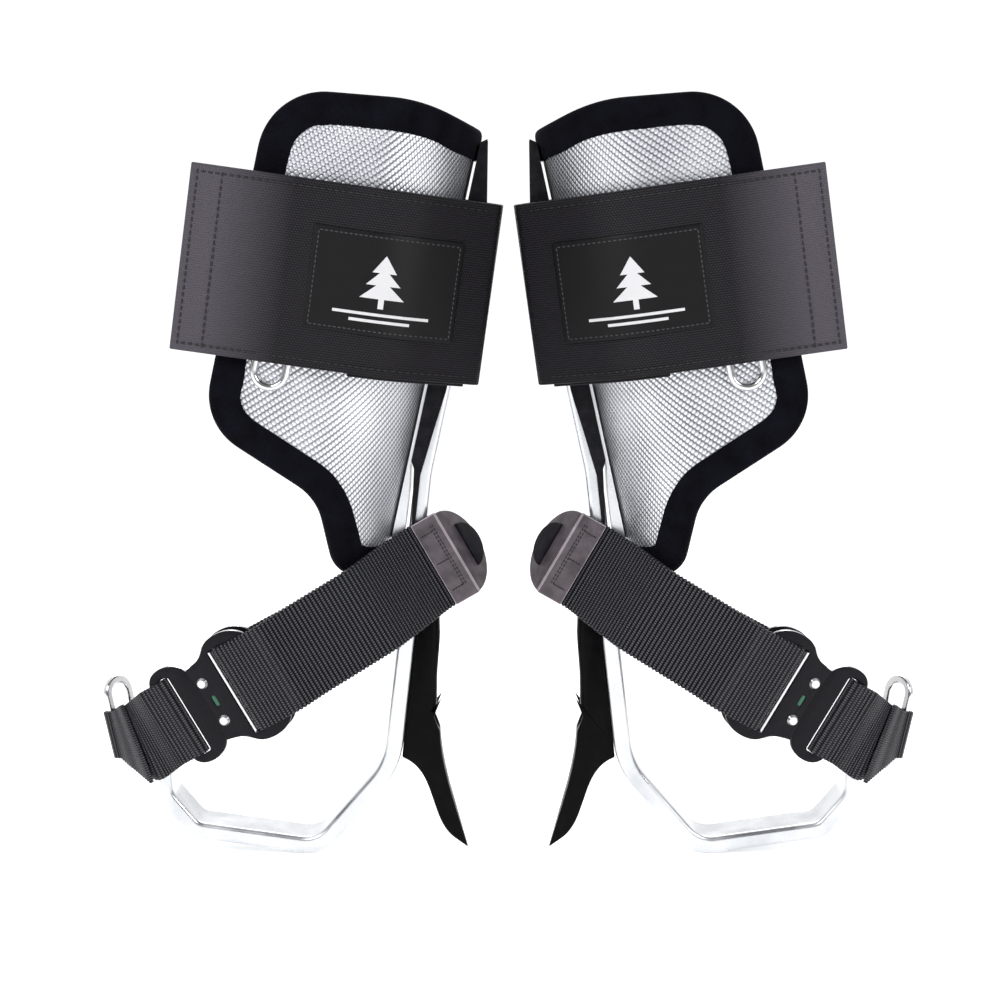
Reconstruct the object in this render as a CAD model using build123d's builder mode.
"""A pair of arborist climbing spurs, left and right, standing side by side.

Millimetres, +Z up, +X to the wearer-side right of the pair, -Y is the front (shin) side.
The origin is on the ground, in the middle between the two spurs.  Every piece is drawn once
for the left spur (X < 0) and mirrored across the YZ plane for the right one.
"""

import os
from math import cos, radians, sin

from build123d import *

os.makedirs("parts", exist_ok=True)

# ---- driving dimensions --------------------------------------------------------------------

# every piece is drawn about the shank's mid plane, then moved back to centre the pair in depth
DEPTH_SHIFT = 6.15

# aluminium shank and stirrup, one bent flat bar
BAR_THICK = 9.5
BAR_DEPTH = 28.0
BAR_EDGE_ROUND = 2.5
SHANK_TOP = (-15.5, 354.0)
SHANK_BEND = (-46.3, 215.0)
SHANK_FOOT = (-64.7, 50.8)
STIRRUP_MEDIAL = (-105.6, 3.4)
STIRRUP_LATERAL = (-175.0, 13.4)
STIRRUP_RISE = (-191.5, 33.0)
STIRRUP_END = (-194.0, 82.0)
STIRRUP_RADII = (60.0, 40.0, 20.0, 12.0, 16.0)

# cuff frame: leans inwards, its origin lies on the lateral face of the shank
CUFF_LEAN = 12.5
CUFF_ORIGIN = (-42.0, 0.0, 257.0)
SHELL_THICK = 2.5
SHELL_HALF_DEPTH = 52.0
SHELL_BACK = -4.5
SHELL_CORNER = 49.0
LINER_THICK = 4.0
BINDING_THICK = 1.6
BINDING_WIDTH = 15.0
BINDING_LIP = 1.5

# bracket between cuff and shank
WEB_THICK = 2.5
SIDE_GAP = 0.4
FLANGE_THICK = 2.5
FLANGE_REACH = 7.5
STAY_THICK = 1.6
SLOT_WIDTH = 7.0
SCREW_D = 6.0
SCREW_HEIGHTS = (25.0, 75.0)
HEIGHT_TRAVEL = 12.7

# upper strap, 100 mm hook-and-loop
UPPER_LEAN = 8.0
UPPER_ORIGIN = (-9.0, 0.0, 311.0)
UPPER_WIDTH = 97.0
UPPER_THICK = 2.2
UPPER_FRONT = 60.5
UPPER_REACH = 162.0
UPPER_SIDE = -2.1

# oblong steel ring on the cuff front
RING_WIRE = 4.0
RING_LENGTH = 112.0
RING_WIDTH = 21.0
RING_CENTRE = (-84.5, 43.5)
RING_Y = -54.4
RING_LEG = RING_CENTRE[0] + (RING_WIDTH - RING_WIRE) / 2
KEEPER_HEIGHTS = (18.0, 69.0)
KEEPER_TALL = 9.0
KEEPER_RIVET = 6.2

# ankle strap, 50 mm webbing in a plane tilted 30 degrees
ANKLE_TILT = 30.0
ANKLE_ORIGIN = (-40.0, 0.0, 165.0)
ANKLE_WIDTH = 50.0
WEB_STRAP_THICK = 2.2
CHAPE_THICK = 2.6
CHAPE_Y = -21.0
CHAPE_RIDGE = 13.0
CHAPE_FOLD = 60.0
TAB_RADIUS = 24.5
CAP_RADIUS = 13.0
CAP_OFFSET = 10.0

# two-part buckle
BUCKLE_AT = (-119.0, -58.0)
BUCKLE_TURN = 14.0
PLATE_THICK = 2.5
CAVITY_HALF = 2.5
TONGUE_THICK = 3.0
TONGUE_TRAVEL = 12.0
SHORT_WIDTH = 45.0

# strap eye on the stirrup end
EYE_CENTRE = (-214.0, -4.0, 73.0)
EYE_TILT = 12.0
EYE_TURN = 35.0
EYE_LENGTH = 54.0
EYE_WIDTH = 20.0
EYE_LEG = 4.5
EYE_THICK = 3.5

# gaff
GAFF_HALF_DEPTH = 8.0

# ---- frames -------------------------------------------------------------------------------


def leaning(tilt):
    """Unit vectors along and across a line that leans towards +X by tilt degrees."""
    along = Vector(sin(radians(tilt)), 0, cos(radians(tilt)))
    across = Vector(cos(radians(tilt)), 0, -sin(radians(tilt)))
    return along, across


CUFF_UP, CUFF_OUT = leaning(CUFF_LEAN)
UPPER_UP, UPPER_OUT = leaning(UPPER_LEAN)
ANKLE_UP, ANKLE_OUT = leaning(-ANKLE_TILT)
FORWARD = Vector(0, -1, 0)
DEPTH = Vector(0, 1, 0)


def cuff_section(height):
    """Sketch plane across the cuff: local x is medial, local y is +Y."""
    return Plane(origin=Vector(CUFF_ORIGIN) + CUFF_UP * height, x_dir=CUFF_OUT, z_dir=CUFF_UP)


CUFF_SIDE = Plane(origin=CUFF_ORIGIN, x_dir=CUFF_OUT, z_dir=FORWARD)
CUFF_FACE = Plane(origin=CUFF_ORIGIN, x_dir=DEPTH, z_dir=CUFF_OUT)
UPPER_SECTION = Plane(origin=UPPER_ORIGIN, x_dir=UPPER_OUT, z_dir=UPPER_UP)
ANKLE_SECTION = Plane(origin=ANKLE_ORIGIN, x_dir=ANKLE_OUT, z_dir=ANKLE_UP)


def ankle_point(out, depth):
    """Point of the ankle strap's middle plane in the row frame."""
    return Vector(ANKLE_ORIGIN) + ANKLE_OUT * out + DEPTH * depth


BUCKLE_ALONG = ANKLE_OUT * -cos(radians(BUCKLE_TURN)) + DEPTH * sin(radians(BUCKLE_TURN))
BUCKLE_NORMAL = ANKLE_OUT * -sin(radians(BUCKLE_TURN)) + DEPTH * -cos(radians(BUCKLE_TURN))


def buckle_plane(height):
    """Sketch plane of the buckle: local x towards the tongue, local z outwards."""
    origin = ankle_point(*BUCKLE_AT) + BUCKLE_NORMAL * height
    return Plane(origin=origin, x_dir=BUCKLE_ALONG, z_dir=BUCKLE_NORMAL)


def buckle_to_ankle(along, height):
    """Turn buckle coordinates into ankle-section coordinates."""
    turn = radians(BUCKLE_TURN)
    out = BUCKLE_AT[0] - along * cos(turn) - height * sin(turn)
    depth = BUCKLE_AT[1] + along * sin(turn) - height * cos(turn)
    return out, depth


def export_pair(node, piece):
    """Write the piece as the left spur's node and its mirror image as the right one's."""
    placed = Pos(0, DEPTH_SHIFT, 0) * piece
    placed.label = "left_" + node
    export_step(placed, f"parts/left_{node}.step")
    twin = mirror(placed, about=Plane.YZ)
    twin.label = "right_" + node
    export_step(twin, f"parts/right_{node}.step")


# ---- shank and stirrup ---------------------------------------------------------------------

with BuildPart() as shank:
    with BuildSketch(Plane.XZ) as bar_outline:
        with BuildLine() as bar_line:
            FilletPolyline(SHANK_TOP, SHANK_BEND, SHANK_FOOT, STIRRUP_MEDIAL, STIRRUP_LATERAL,
                           STIRRUP_RISE, STIRRUP_END, radius=STIRRUP_RADII)
        trace(line_width=BAR_THICK)
    extrude(amount=BAR_DEPTH / 2, both=True)
    long_edges = shank.faces().filter_by(Axis.Y).edges()
    fillet(long_edges, radius=BAR_EDGE_ROUND)
    # long slot for the two bracket screws
    slot_low = SCREW_HEIGHTS[0] - SLOT_WIDTH / 2
    slot_high = SCREW_HEIGHTS[1] + HEIGHT_TRAVEL + SLOT_WIDTH / 2
    with BuildSketch(CUFF_FACE):
        with Locations((0, (slot_low + slot_high) / 2)):
            SlotOverall(slot_high - slot_low, SLOT_WIDTH, rotation=90)
    extrude(amount=15, both=True, mode=Mode.SUBTRACT)

# ---- gaff and its screws -------------------------------------------------------------------

LOWER_LEAN = 6.4
LOWER_UP, LOWER_OUT = leaning(LOWER_LEAN)
GAFF_SCREW_HEIGHTS = (77.0, 118.0)
GAFF_SCREW_D = 6.0
GAFF_HEAD_D = 10.0
HEAD_START = 9.0
HEAD_END = 13.0
FIT = 0.05


def shank_side(height, stand_off=0.0):
    """Plane on the medial face of the lower shank at a height, normal pointing medially."""
    run = (height - SHANK_FOOT[1]) / cos(radians(LOWER_LEAN))
    start = Vector(SHANK_FOOT[0], 0, SHANK_FOOT[1])
    origin = start + LOWER_UP * run + LOWER_OUT * (BAR_THICK / 2 + stand_off)
    return Plane(origin=origin, x_dir=DEPTH, z_dir=LOWER_OUT)


with BuildPart() as gaff:
    with BuildSketch(Plane.XZ):
        with BuildLine():
            Polyline((-49.8, 141), (-38.6, 139), (-38.1, 123), (-39.8, 100), (-39.9, 80.5),
                     (-41.6, 77), (-38.3, 68.5))
            Spline((-38.3, 68.5), (-35.6, 47), (-29.7, 24), (-22.8, 0))
            Line((-22.8, 0), (-30.8, 6))
            Spline((-30.8, 6), (-43.5, 32.7), (-50, 46.4), (-59.4, 53.5))
            Polyline((-59.4, 53.5), (-58.7, 60.5), (-49.8, 141))
        make_face()
    extrude(amount=GAFF_HALF_DEPTH, both=True)
    with BuildSketch(Plane.YZ):
        with BuildLine():
            Polyline((-GAFF_HALF_DEPTH, 150), (GAFF_HALF_DEPTH, 150), (GAFF_HALF_DEPTH, 62),
                     (5.5, 30), (1.2, -2), (-1.2, -2), (-5.5, 30), (-GAFF_HALF_DEPTH, 62), close=True)
        make_face()
    extrude(amount=80, both=True, mode=Mode.INTERSECT)
    upper_corner = gaff.edges().filter_by(lambda e: e.center().X > -42 and e.center().Z > 80
                                          and abs(e.center().Y) > GAFF_HALF_DEPTH - 0.5)
    chamfer(upper_corner, length=2.5)
    for height in GAFF_SCREW_HEIGHTS:
        with BuildSketch(shank_side(height)):
            Circle(GAFF_SCREW_D / 2 + FIT)
        extrude(amount=20, both=True, mode=Mode.SUBTRACT)
        with BuildSketch(shank_side(height, HEAD_START)):
            Circle(GAFF_HEAD_D / 2 + 0.2)
        extrude(amount=20, mode=Mode.SUBTRACT)
export_pair("gaff", gaff.part)

with BuildPart() as gaff_screws:
    for height in GAFF_SCREW_HEIGHTS:
        with BuildSketch(shank_side(height, -BAR_THICK)):
            Circle(GAFF_SCREW_D / 2)
        extrude(amount=BAR_THICK + HEAD_START)
        with BuildSketch(shank_side(height, HEAD_START)):
            Circle(GAFF_HEAD_D / 2)
        extrude(amount=HEAD_END - HEAD_START)
        with BuildSketch(shank_side(height, HEAD_END)):
            RegularPolygon(radius=2.9, side_count=6)
        extrude(amount=-2.6, mode=Mode.SUBTRACT)
export_pair("gaff_screws", gaff_screws.part)

# ---- strap eye on the stirrup end ----------------------------------------------------------

EYE_UP, EYE_ACROSS = leaning(-EYE_TILT)
EYE_SHORT = EYE_ACROSS * sin(radians(EYE_TURN)) + DEPTH * cos(radians(EYE_TURN))
EYE_NORMAL = EYE_UP.cross(EYE_SHORT)
EYE_PLANE = Plane(origin=EYE_CENTRE, x_dir=EYE_UP, z_dir=EYE_NORMAL)
UPRIGHT_OUTER = STIRRUP_END[0] - BAR_THICK / 2
EYE_RIVET_HEIGHTS = (53.0, 62.0)
EYE_RIVET_D = 5.0

EYE_FOOT_THICK = 3.0


def upright_side(height, stand_off=0.0):
    """Plane on the outer face of the stirrup upright, normal pointing laterally."""
    origin = (UPRIGHT_OUTER - stand_off, 0, height)
    return Plane(origin=origin, x_dir=DEPTH, z_dir=(-1, 0, 0))


with BuildPart() as strap_eye:
    with BuildSketch(EYE_PLANE):
        SlotOverall(EYE_LENGTH, EYE_WIDTH)
        SlotOverall(EYE_LENGTH - 2 * EYE_LEG, EYE_WIDTH - 2 * EYE_LEG, mode=Mode.SUBTRACT)
    extrude(amount=EYE_THICK / 2, both=True)
    fillet(strap_eye.edges().filter_by(GeomType.CIRCLE), radius=1.2)
    # flat foot riveted to the outside of the stirrup upright, and the neck between them
    with BuildSketch(upright_side(63.0)):
        RectangleRounded(18, 32, radius=6)
    extrude(amount=EYE_FOOT_THICK)
    with BuildSketch(Plane.XZ.offset(-2.0)):
        with BuildLine():
            Polyline((-212, 79), (-201, 77), (-200, 69.5), (-209, 68), close=True)
        make_face()
    extrude(amount=-6.0)
    for height in EYE_RIVET_HEIGHTS:
        with BuildSketch(upright_side(height)):
            Circle(EYE_RIVET_D / 2 + FIT)
        extrude(amount=6, both=True, mode=Mode.SUBTRACT)
export_pair("strap_eye", strap_eye.part)

with BuildPart() as eye_rivets:
    for height in EYE_RIVET_HEIGHTS:
        with BuildSketch(upright_side(height, -BAR_THICK - 0.5)):
            Circle(EYE_RIVET_D / 2)
        extrude(amount=BAR_THICK + 0.5 + EYE_FOOT_THICK)
        with BuildSketch(upright_side(height, EYE_FOOT_THICK)):
            Circle(4.0)
        extrude(amount=1.4, taper=25)
export_pair("eye_rivets", eye_rivets.part)

# ---- lug, chape and cap that hold the ankle strap to the shank -----------------------------

LUG_HALF_WIDTH = 9.0
TAB_DIR = Vector(cos(radians(CHAPE_FOLD)), sin(radians(CHAPE_FOLD)))
TAB_ALONG = ANKLE_OUT * TAB_DIR.X + DEPTH * TAB_DIR.Y
TAB_NORMAL = ANKLE_UP.cross(TAB_ALONG) * -1


def tab_plane(height, along=0.0):
    """Plane of the folded-back leather tab: local y along the tab, normal outwards."""
    origin = ankle_point(CHAPE_RIDGE, CHAPE_Y) + TAB_ALONG * along + TAB_NORMAL * height
    return Plane(origin=origin, x_dir=ANKLE_UP * -1, z_dir=TAB_NORMAL)


LUG_SCREW_AT = 166.0
CHAPE_SCREW_ALONG = 16.0

with BuildPart() as strap_lug:
    with BuildSketch(ANKLE_SECTION):
        with BuildLine():
            inner = [Vector(CHAPE_RIDGE, CHAPE_Y) + TAB_DIR * run
                     + Vector(-TAB_DIR.Y, TAB_DIR.X) * (CHAPE_THICK / 2) for run in (6.0, 21.0)]
            Polyline(inner[0], inner[1], (-20, 10), (-20, -10), close=True)
        make_face()
    extrude(amount=LUG_HALF_WIDTH, both=True)
    split(bisect_by=shank_side(165.0), keep=Keep.TOP)
    fillet(strap_lug.edges().filter_by(lambda e: e.length > 17.5 and e.center().X > -40), radius=2)
    with BuildSketch(shank_side(LUG_SCREW_AT)):
        Circle(GAFF_SCREW_D / 2 + FIT)
    extrude(amount=14, mode=Mode.SUBTRACT)
    with BuildSketch(tab_plane(0, CHAPE_SCREW_ALONG)):
        Circle(2.5 + FIT)
    extrude(amount=-14, mode=Mode.SUBTRACT)
export_pair("strap_lug", strap_lug.part)

with BuildPart() as lug_screws:
    with BuildSketch(shank_side(LUG_SCREW_AT, -BAR_THICK - 3.6)):
        Circle(GAFF_HEAD_D / 2)
    extrude(amount=3.5)
    with BuildSketch(shank_side(LUG_SCREW_AT, -BAR_THICK)):
        Circle(GAFF_SCREW_D / 2)
    extrude(amount=BAR_THICK + 9)
    with BuildSketch(shank_side(LUG_SCREW_AT, -BAR_THICK - 3.5)):
        RegularPolygon(radius=2.9, side_count=6)
    extrude(amount=2, mode=Mode.SUBTRACT)
export_pair("lug_screws", lug_screws.part)

with BuildPart() as chape:
    with BuildSketch(ANKLE_SECTION):
        with BuildLine():
            Line((-1, CHAPE_Y), (CHAPE_RIDGE + 0.6, CHAPE_Y))
        trace(line_width=CHAPE_THICK)
    extrude(amount=ANKLE_WIDTH / 2, both=True)
    with BuildSketch(tab_plane(-CHAPE_THICK / 2)) as tab_outline:
        Circle(TAB_RADIUS)
        with Locations((0, -TAB_RADIUS)):
            Rectangle(60, 2 * TAB_RADIUS, mode=Mode.SUBTRACT)
    extrude(amount=CHAPE_THICK)
    with BuildSketch(tab_plane(0, CHAPE_SCREW_ALONG)):
        Circle(2.5 + FIT)
    extrude(amount=5, both=True, mode=Mode.SUBTRACT)
export_pair("chape", chape.part)

with BuildPart() as chape_cap:
    with BuildSketch(tab_plane(CHAPE_THICK / 2, CAP_OFFSET)):
        Circle(CAP_RADIUS)
        with Locations((0, -CAP_RADIUS)):
            Rectangle(60, 2 * CAP_RADIUS, mode=Mode.SUBTRACT)
    extrude(amount=2.2)
    fillet(chape_cap.faces().sort_by(Axis(origin=(0, 0, 0), direction=TAB_NORMAL))[-1].edges(), radius=0.9)
    # the clamp screw is formed in one with the cap
    with BuildSketch(tab_plane(CHAPE_THICK / 2 + 0.1, CHAPE_SCREW_ALONG)):
        Circle(2.5)
    extrude(amount=-15)
export_pair("chape_cap", chape_cap.part)

# ---- ankle strap ---------------------------------------------------------------------------

STRAP_FACE = PLATE_THICK + CAVITY_HALF + WEB_STRAP_THICK / 2 + 0.6
with BuildPart() as ankle_strap:
    with BuildSketch(ANKLE_SECTION):
        with BuildLine():
            FilletPolyline((10, -18.2), (-5, -18.4), (-37, -53.5), (-80, -64),
                           buckle_to_ankle(-27, STRAP_FACE), buckle_to_ankle(-0.6, STRAP_FACE),
                           buckle_to_ankle(-0.6, -STRAP_FACE), buckle_to_ankle(-25, -STRAP_FACE),
                           (-79, -60.6), (-38.6, -50.8), (-15.6, -25.7),
                           radius=(14, 25, 60, 12, 3, 3, 12, 20, 22))
        trace(line_width=WEB_STRAP_THICK)
    extrude(amount=ANKLE_WIDTH / 2, both=True)
export_pair("ankle_strap", ankle_strap.part)

# ---- two-part buckle -----------------------------------------------------------------------

PLATE_LOW = CAVITY_HALF
SLOT_BACK = -2.4
SLOT_FRONT = 4.2
SLOT_HALF = 25.4
RIVET_AT = 15.5
RIVET_SPREAD = 11.5
RIVET_D = 3.5
CLIP_BACK = 6.4
CLIP_FRONT = 12.2
CLIP_INNER = 9.2
CLIP_OUTER = 28.2
CLIP_THICK = 4.2
CLIP_TRAVEL = 2.5
BAR_D = 2.4

with BuildSketch(Plane.XY) as socket_outline:
    with BuildLine():
        edge_line = Line((-21.5, 0), (-21.5, 21))
        side = Spline((-21.5, 21), (-17, 28), (-4, 31.5), (4, 29.2), (9, 24.9), (15, 22.6), (20.6, 21.6))
        ThreePointArc((20.6, 21.6), (19.0, 11), (18.5, 0))
        mirror(about=Plane.XZ)
    make_face()
    with Locations(((SLOT_BACK + SLOT_FRONT) / 2, 0)):
        RectangleRounded(SLOT_FRONT - SLOT_BACK, 2 * SLOT_HALF, radius=1.2, mode=Mode.SUBTRACT)
    with Locations((RIVET_AT, RIVET_SPREAD), (RIVET_AT, -RIVET_SPREAD)):
        Circle(RIVET_D / 2 + FIT, mode=Mode.SUBTRACT)

with BuildSketch(Plane.XY) as indicator_window:
    with Locations((RIVET_AT - 1.5, 0)):
        SlotOverall(6.6, 2.6, rotation=90)

with BuildPart() as buckle_plate:
    extrude(buckle_plane(PLATE_LOW) * socket_outline.sketch, amount=PLATE_THICK)
    extrude(buckle_plane(PLATE_LOW) * indicator_window.sketch, amount=PLATE_THICK, mode=Mode.SUBTRACT)
export_pair("buckle_plate", buckle_plate.part)

with BuildPart() as buckle_back_plate:
    extrude(buckle_plane(-PLATE_LOW - PLATE_THICK) * socket_outline.sketch, amount=PLATE_THICK)
export_pair("buckle_back_plate", buckle_back_plate.part)

with BuildPart() as buckle_rivets:
    half = PLATE_LOW + PLATE_THICK
    with BuildSketch(buckle_plane(-half)):
        with Locations((RIVET_AT, RIVET_SPREAD), (RIVET_AT, -RIVET_SPREAD)):
            Circle(RIVET_D / 2)
    extrude(amount=2 * half)
    with BuildSketch(buckle_plane(half)):
        with Locations((RIVET_AT, RIVET_SPREAD), (RIVET_AT, -RIVET_SPREAD)):
            Circle(3.1)
    extrude(amount=1.3, taper=35)
    with BuildSketch(buckle_plane(-half)):
        with Locations((RIVET_AT, RIVET_SPREAD), (RIVET_AT, -RIVET_SPREAD)):
            Circle(3.1)
    extrude(amount=-1.0, taper=35)
export_pair("buckle_rivets", buckle_rivets.part)

with BuildPart() as buckle_slot_bar:
    bar_start = buckle_plane(PLATE_LOW + PLATE_THICK / 2)
    with BuildSketch(Plane(origin=bar_start.from_local_coords((SLOT_FRONT - BAR_D / 2 - 0.05, 1 - SLOT_HALF, 0)),
                           x_dir=BUCKLE_ALONG, z_dir=ANKLE_UP * -1)):
        Circle(BAR_D / 2)
    extrude(amount=2 * (SLOT_HALF - 1))
export_pair("buckle_slot_bar", buckle_slot_bar.part)

# a clip on each edge of the socket slides inwards when pressed
for clip_name, side_sign in (("buckle_clip_upper", -1), ("buckle_clip_lower", 1)):
    with BuildPart() as clip:
        with BuildSketch(buckle_plane(-CLIP_THICK / 2)):
            with Locations(((CLIP_BACK + CLIP_FRONT) / 2, side_sign * (CLIP_INNER + CLIP_OUTER) / 2)):
                Rectangle(CLIP_FRONT - CLIP_BACK, CLIP_OUTER - CLIP_INNER)
            with Locations(((CLIP_BACK + CLIP_FRONT) / 2 + 1.5, side_sign * (CLIP_OUTER - 1.0))):
                Rectangle(CLIP_FRONT - CLIP_BACK + 3, 2.0)
        extrude(amount=CLIP_THICK)
    export_pair(clip_name, clip.part)

with BuildPart() as buckle_springs:
    for side_sign in (-1, 1):
        spring_start = buckle_plane(0).from_local_coords(((CLIP_BACK + CLIP_FRONT) / 2, side_sign * 6.0, 0))
        with BuildSketch(Plane(origin=spring_start, x_dir=BUCKLE_ALONG, z_dir=ANKLE_UP * -side_sign)):
            Circle(1.6)
            Circle(1.0, mode=Mode.SUBTRACT)
        extrude(amount=CLIP_INNER - 6.0)
export_pair("buckle_springs", buckle_springs.part)

TONGUE_START = 21.4
TONGUE_END = 46.0
TONGUE_SLOT = 36.0
BLADE_START = 6.0
BLADE_HALF = 5.2

with BuildPart() as buckle_tongue:
    with BuildSketch(buckle_plane(-TONGUE_THICK / 2)):
        with BuildLine():
            Line((BLADE_START, 0), (BLADE_START, BLADE_HALF))
            Line((BLADE_START, BLADE_HALF), (19.2, BLADE_HALF))
            ThreePointArc((19.2, BLADE_HALF), (20.4, 13), (22.2, 20.5))
            Spline((22.2, 20.5), (27.0, 26.5), (34.0, 28.6), (41.0, 27.4), (45.4, 22.0))
            Line((45.4, 22.0), (TONGUE_END, 0))
            mirror(about=Plane.XZ)
        make_face()
        with Locations((TONGUE_SLOT, 0)):
            RectangleRounded(6.0, 2 * 23.2, radius=2, mode=Mode.SUBTRACT)
    extrude(amount=TONGUE_THICK)
export_pair("buckle_tongue", buckle_tongue.part)

# ---- short strap from the tongue to the strap eye ------------------------------------------

TURN_PLANE = Plane(origin=(-204.0, -30.0, 77.0), x_dir=leaning(-21)[0], z_dir=(-0.49, 0.857, -0.15))
strap_leave = ankle_point(*buckle_to_ankle(50, 3.4))
LEAVE_PLANE = Plane(origin=strap_leave, x_dir=ANKLE_UP, z_dir=BUCKLE_ALONG)
ARRIVE_PLANE = Plane(origin=Vector(EYE_CENTRE) + EYE_NORMAL * 0, x_dir=EYE_UP,
                     z_dir=EYE_NORMAL * (1 if EYE_NORMAL.X < 0 else -1))

with BuildPart() as short_strap:
    with BuildSketch(ANKLE_SECTION):
        with BuildLine():
            FilletPolyline(buckle_to_ankle(36.4, -2.6), buckle_to_ankle(36.4, 3.4),
                           buckle_to_ankle(50, 3.4), radius=2.5)
        trace(line_width=WEB_STRAP_THICK)
    extrude(amount=SHORT_WIDTH / 2, both=True)
    for station in (LEAVE_PLANE, TURN_PLANE, ARRIVE_PLANE):
        with BuildSketch(station):
            Rectangle(SHORT_WIDTH, WEB_STRAP_THICK)
    loft()
export_pair("short_strap", short_strap.part)

# ---- cuff shell, liner, binding ------------------------------------------------------------

SHELL_LOW = -110.0
SHELL_TALL = 270.0
FRONT_REACH = -130.0
CUFF_CORNERS = ((30, 134), (-36, 150), (-112, 139.5), (-112, -36), (-45, -61.5), (-26, -100), (30, -100))
CUFF_RADII = (1.0, 90.0, 33.0, 30.0, 34.0, 16.0, 1.0)


def cuff_wall(inner, outer):
    """Closed face between two offsets of the U-shaped cuff section, measured from the shell."""
    with BuildSketch(cuff_section(SHELL_LOW)) as wall:
        for grow, how in ((outer, Mode.ADD), (inner, Mode.SUBTRACT)):
            back = SHELL_BACK + grow
            half = SHELL_HALF_DEPTH + grow
            corner = SHELL_CORNER + grow
            with BuildLine():
                Line((FRONT_REACH, -half), (back - corner, -half))
                ThreePointArc((back - corner, -half),
                              (back - corner * (1 - cos(radians(45))), -half + corner * (1 - sin(radians(45)))),
                              (back, -half + corner))
                Line((back, -half + corner), (back, half - corner))
                ThreePointArc((back, half - corner),
                              (back - corner * (1 - cos(radians(45))), half - corner * (1 - sin(radians(45)))),
                              (back - corner, half))
                Line((back - corner, half), (FRONT_REACH, half))
                Line((FRONT_REACH, half), (FRONT_REACH, -half))
            make_face(mode=how)
    return wall.sketch


def cuff_outline(grow):
    """Side outline of the cuff in its own frame, grown outwards by an offset."""
    with BuildSketch(CUFF_SIDE) as outline:
        with BuildLine():
            FilletPolyline(CUFF_CORNERS, radius=CUFF_RADII, close=True)
        make_face()
        if grow:
            offset(amount=grow, kind=Kind.INTERSECTION)
    return outline.sketch


def cuff_layer(inner, outer, grow):
    """Prismatic layer of the cuff between two wall offsets, cut to the side outline."""
    with BuildPart() as layer:
        extrude(cuff_wall(inner, outer), amount=SHELL_TALL)
        extrude(cuff_outline(grow), amount=90, both=True, mode=Mode.INTERSECT)
    return layer.part


with BuildPart() as cuff_shell:
    add(cuff_layer(-SHELL_THICK, 0, 0))
    with BuildSketch(CUFF_FACE):
        with Locations(*((0, height) for height in SCREW_HEIGHTS)):
            Circle(SCREW_D / 2 + FIT)
    extrude(amount=-16, mode=Mode.SUBTRACT)
    with BuildSketch(CUFF_SIDE):
        with Locations(*((RING_LEG + KEEPER_RIVET, height) for height in KEEPER_HEIGHTS)):
            Circle(1.5 + FIT)
    extrude(amount=60, mode=Mode.SUBTRACT)
export_pair("cuff_shell", cuff_shell.part)

with BuildPart() as cuff_liner:
    add(cuff_layer(-SHELL_THICK - LINER_THICK, -SHELL_THICK, BINDING_LIP))
    with BuildSketch(CUFF_FACE):
        with Locations(*((0, height) for height in SCREW_HEIGHTS)):
            Circle(7.0)
    extrude(amount=-16, mode=Mode.SUBTRACT)
export_pair("cuff_liner", cuff_liner.part)

with BuildPart() as cuff_binding:
    add(cuff_layer(-SHELL_THICK, BINDING_THICK, BINDING_LIP))
    extrude(cuff_outline(0), amount=SHELL_HALF_DEPTH, both=True, mode=Mode.SUBTRACT)
    extrude(cuff_outline(-BINDING_WIDTH), amount=90, both=True, mode=Mode.SUBTRACT)
    # gap for the bracket and the stay
    with BuildSketch(CUFF_FACE):
        with Locations((0, 20)):
            Rectangle(36, 242)
    extrude(amount=-12, mode=Mode.SUBTRACT)
export_pair("cuff_binding", cuff_binding.part)

# ---- bracket, stay and their fasteners -----------------------------------------------------

WEB_OUT = -SIDE_GAP
WEB_IN = WEB_OUT - WEB_THICK
STAY_IN = WEB_IN - STAY_THICK
FLANGE_IN = BAR_DEPTH / 2 + SIDE_GAP
FLANGE_OUT = FLANGE_IN + FLANGE_THICK
WEB_TOP = 138.0
WEB_FOOT = -40.0


def screw_circles(diameter):
    """One circle on each bracket screw's axis, drawn on the lateral face of the shank."""
    with BuildSketch(CUFF_FACE) as circles:
        with Locations(*((0, height) for height in SCREW_HEIGHTS)):
            Circle(diameter / 2)
    return circles.sketch


with BuildPart() as cuff_bracket:
    with BuildSketch(CUFF_SIDE):
        with BuildLine():
            Polyline((WEB_IN, WEB_TOP), (WEB_OUT, WEB_TOP), (WEB_OUT, WEB_FOOT), (WEB_IN, WEB_FOOT + 3),
                     close=True)
        make_face()
    extrude(amount=FLANGE_OUT, both=True)
    for side_sign in (-1, 1):
        start = FLANGE_IN if side_sign > 0 else -FLANGE_OUT
        with BuildSketch(Plane(origin=Vector(CUFF_ORIGIN) + DEPTH * (start + FLANGE_THICK),
                               x_dir=CUFF_OUT, z_dir=FORWARD)):
            with BuildLine():
                Polyline((WEB_IN, WEB_TOP), (0.4, WEB_TOP + 2.5), (FLANGE_REACH, 106), (FLANGE_REACH, 4),
                         (5.4, -20), (3.6, -44), (6.6, -72), (4.8, -72), (-0.6, WEB_FOOT - 1),
                         (WEB_IN, WEB_FOOT + 3), close=True)
            make_face()
        extrude(amount=FLANGE_THICK)
    extrude(screw_circles(SCREW_D + 2 * FIT), amount=16, both=True, mode=Mode.SUBTRACT)
export_pair("cuff_bracket", cuff_bracket.part)

with BuildPart() as cuff_stay:
    with BuildSketch(CUFF_SIDE):
        with BuildLine():
            Polyline((STAY_IN, 100), (WEB_IN, 100), (WEB_IN, WEB_FOOT), (-0.4, WEB_FOOT - 14), (1.9, -79),
                     (0, -82), (STAY_IN, -82), close=True)
        make_face()
    extrude(amount=15, both=True)
    extrude(screw_circles(SCREW_D + 2 * FIT), amount=16, both=True, mode=Mode.SUBTRACT)
export_pair("cuff_stay", cuff_stay.part)

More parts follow.
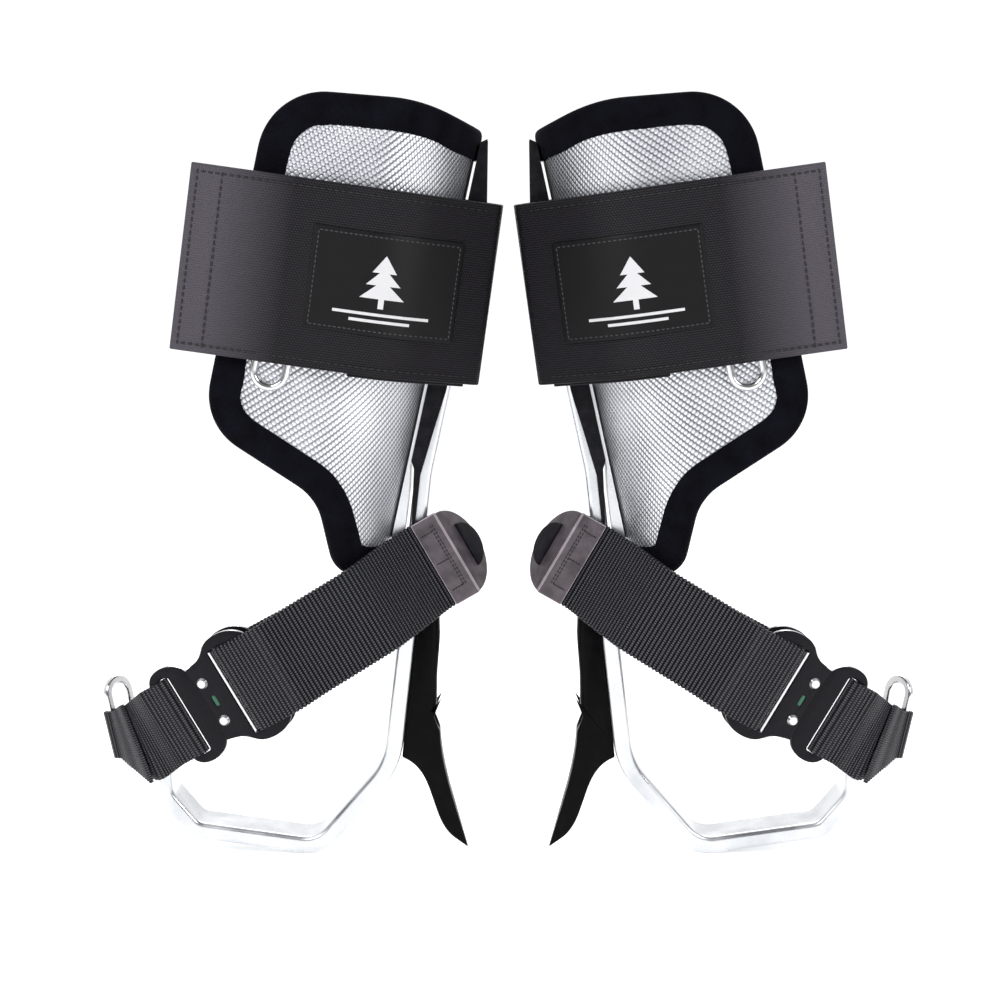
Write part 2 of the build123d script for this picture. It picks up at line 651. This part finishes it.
NUT_OUT = STAY_IN - SHELL_THICK - 0.5
NUT_IN = NUT_OUT - 3.0
with BuildPart() as bracket_screws:
    for height in SCREW_HEIGHTS:
        for start, end, diameter in ((NUT_IN, BAR_THICK + SIDE_GAP, SCREW_D),
                                     (BAR_THICK + SIDE_GAP, BAR_THICK + SIDE_GAP + 3.3, 11.0),
                                     (NUT_IN, NUT_OUT, 12.0)):
            plane = Plane(origin=Vector(CUFF_ORIGIN) + CUFF_OUT * start, x_dir=DEPTH, z_dir=CUFF_OUT)
            with BuildSketch(plane):
                with Locations((0, height)):
                    Circle(diameter / 2)
            extrude(amount=end - start)
        with BuildSketch(Plane(origin=Vector(CUFF_ORIGIN) + CUFF_OUT * (BAR_THICK + SIDE_GAP + 3.3),
                               x_dir=DEPTH, z_dir=CUFF_OUT)):
            with Locations((0, height)):
                RegularPolygon(radius=2.9, side_count=6)
        extrude(amount=-2.2, mode=Mode.SUBTRACT)
export_pair("bracket_screws", bracket_screws.part)

# ---- oblong ring, its keepers and the rivets -----------------------------------------------


def front_face(distance):
    """Plane parallel to the cuff's front panel, normal forwards."""
    return Plane(origin=(CUFF_ORIGIN[0], -distance, CUFF_ORIGIN[2]), x_dir=CUFF_OUT, z_dir=FORWARD)


with BuildPart() as strap_ring:
    half_long = (RING_LENGTH - RING_WIRE) / 2
    half_wide = (RING_WIDTH - RING_WIRE) / 2
    with BuildLine(front_face(-RING_Y)) as ring_line:
        FilletPolyline((RING_CENTRE[0] + half_wide, RING_CENTRE[1] + half_long),
                       (RING_CENTRE[0] - half_wide, RING_CENTRE[1] + half_long),
                       (RING_CENTRE[0] - half_wide, RING_CENTRE[1] - half_long),
                       (RING_CENTRE[0] + half_wide, RING_CENTRE[1] - half_long),
                       radius=half_wide - 0.1, close=True)
    ring_path = ring_line.wires()[0]
    with BuildSketch(Plane(origin=ring_path @ 0, z_dir=ring_path % 0)):
        Circle(RING_WIRE / 2)
    sweep(path=ring_path)
export_pair("strap_ring", strap_ring.part)

with BuildPart() as ring_keeper:
    for height in KEEPER_HEIGHTS:
        with BuildSketch(front_face(SHELL_HALF_DEPTH)):
            with Locations((RING_LEG + 2.5, height)):
                RectangleRounded(14, KEEPER_TALL, radius=2)
        extrude(amount=5.6)
        bore_start = front_face(-RING_Y).from_local_coords((RING_LEG, height - KEEPER_TALL, 0))
        with BuildSketch(Plane(origin=bore_start, x_dir=DEPTH, z_dir=CUFF_UP)):
            Circle(RING_WIRE / 2 + 0.3)
        extrude(amount=2 * KEEPER_TALL, mode=Mode.SUBTRACT)
        with BuildSketch(front_face(SHELL_HALF_DEPTH)):
            with Locations((RING_LEG + KEEPER_RIVET, height)):
                Circle(1.5 + FIT)
        extrude(amount=8, mode=Mode.SUBTRACT)
export_pair("ring_keeper", ring_keeper.part)

with BuildPart() as shell_rivets:
    # through the keepers on the front panel
    for height in KEEPER_HEIGHTS:
        with BuildSketch(front_face(SHELL_HALF_DEPTH - SHELL_THICK)):
            with Locations((RING_LEG + KEEPER_RIVET, height)):
                Circle(1.5)
        extrude(amount=SHELL_THICK + 5.6)
        with BuildSketch(front_face(SHELL_HALF_DEPTH + 5.6)):
            with Locations((RING_LEG + KEEPER_RIVET, height)):
                Circle(2.2)
        extrude(amount=0.8)
export_pair("shell_rivets", shell_rivets.part)

# ---- upper strap: fixed half round the back, flap across the front -------------------------

HINGE_AT = (UPPER_SIDE, -22.0)
FLAP_START = 0.9
CORNER_AT = -50.0
BACK_REACH = -100.0
BACK_Y = 58.0

with BuildPart() as upper_strap_back:
    with BuildSketch(UPPER_SECTION.offset(-UPPER_WIDTH / 2)):
        with BuildLine():
            FilletPolyline((UPPER_SIDE, -21.0), (UPPER_SIDE, 24), (CORNER_AT, BACK_Y), (BACK_REACH, BACK_Y),
                           radius=(14, 50))
        trace(line_width=UPPER_THICK)
    extrude(amount=UPPER_WIDTH)
export_pair("upper_strap_back", upper_strap_back.part)

with BuildPart() as upper_strap_front:
    with BuildSketch(UPPER_SECTION.offset(-UPPER_WIDTH / 2)):
        with BuildLine():
            FilletPolyline((UPPER_SIDE - 1.2, -23.2), (CORNER_AT, -UPPER_FRONT), (-UPPER_REACH, -UPPER_FRONT),
                           radius=50)
        trace(line_width=UPPER_THICK)
    extrude(amount=UPPER_WIDTH)
export_pair("upper_strap_front", upper_strap_front.part)

# ---- holes that the fasteners need in the shank --------------------------------------------

with BuildPart() as drilled_shank:
    add(shank.part)
    for height in (*GAFF_SCREW_HEIGHTS, LUG_SCREW_AT):
        with BuildSketch(shank_side(height)):
            Circle(GAFF_SCREW_D / 2 + FIT)
        extrude(amount=-BAR_THICK - 2, mode=Mode.SUBTRACT)
    for height in EYE_RIVET_HEIGHTS:
        with BuildSketch(upright_side(height, 2)):
            Circle(EYE_RIVET_D / 2 + FIT)
        extrude(amount=-BAR_THICK - 4, mode=Mode.SUBTRACT)
export_pair("shank", drilled_shank.part)
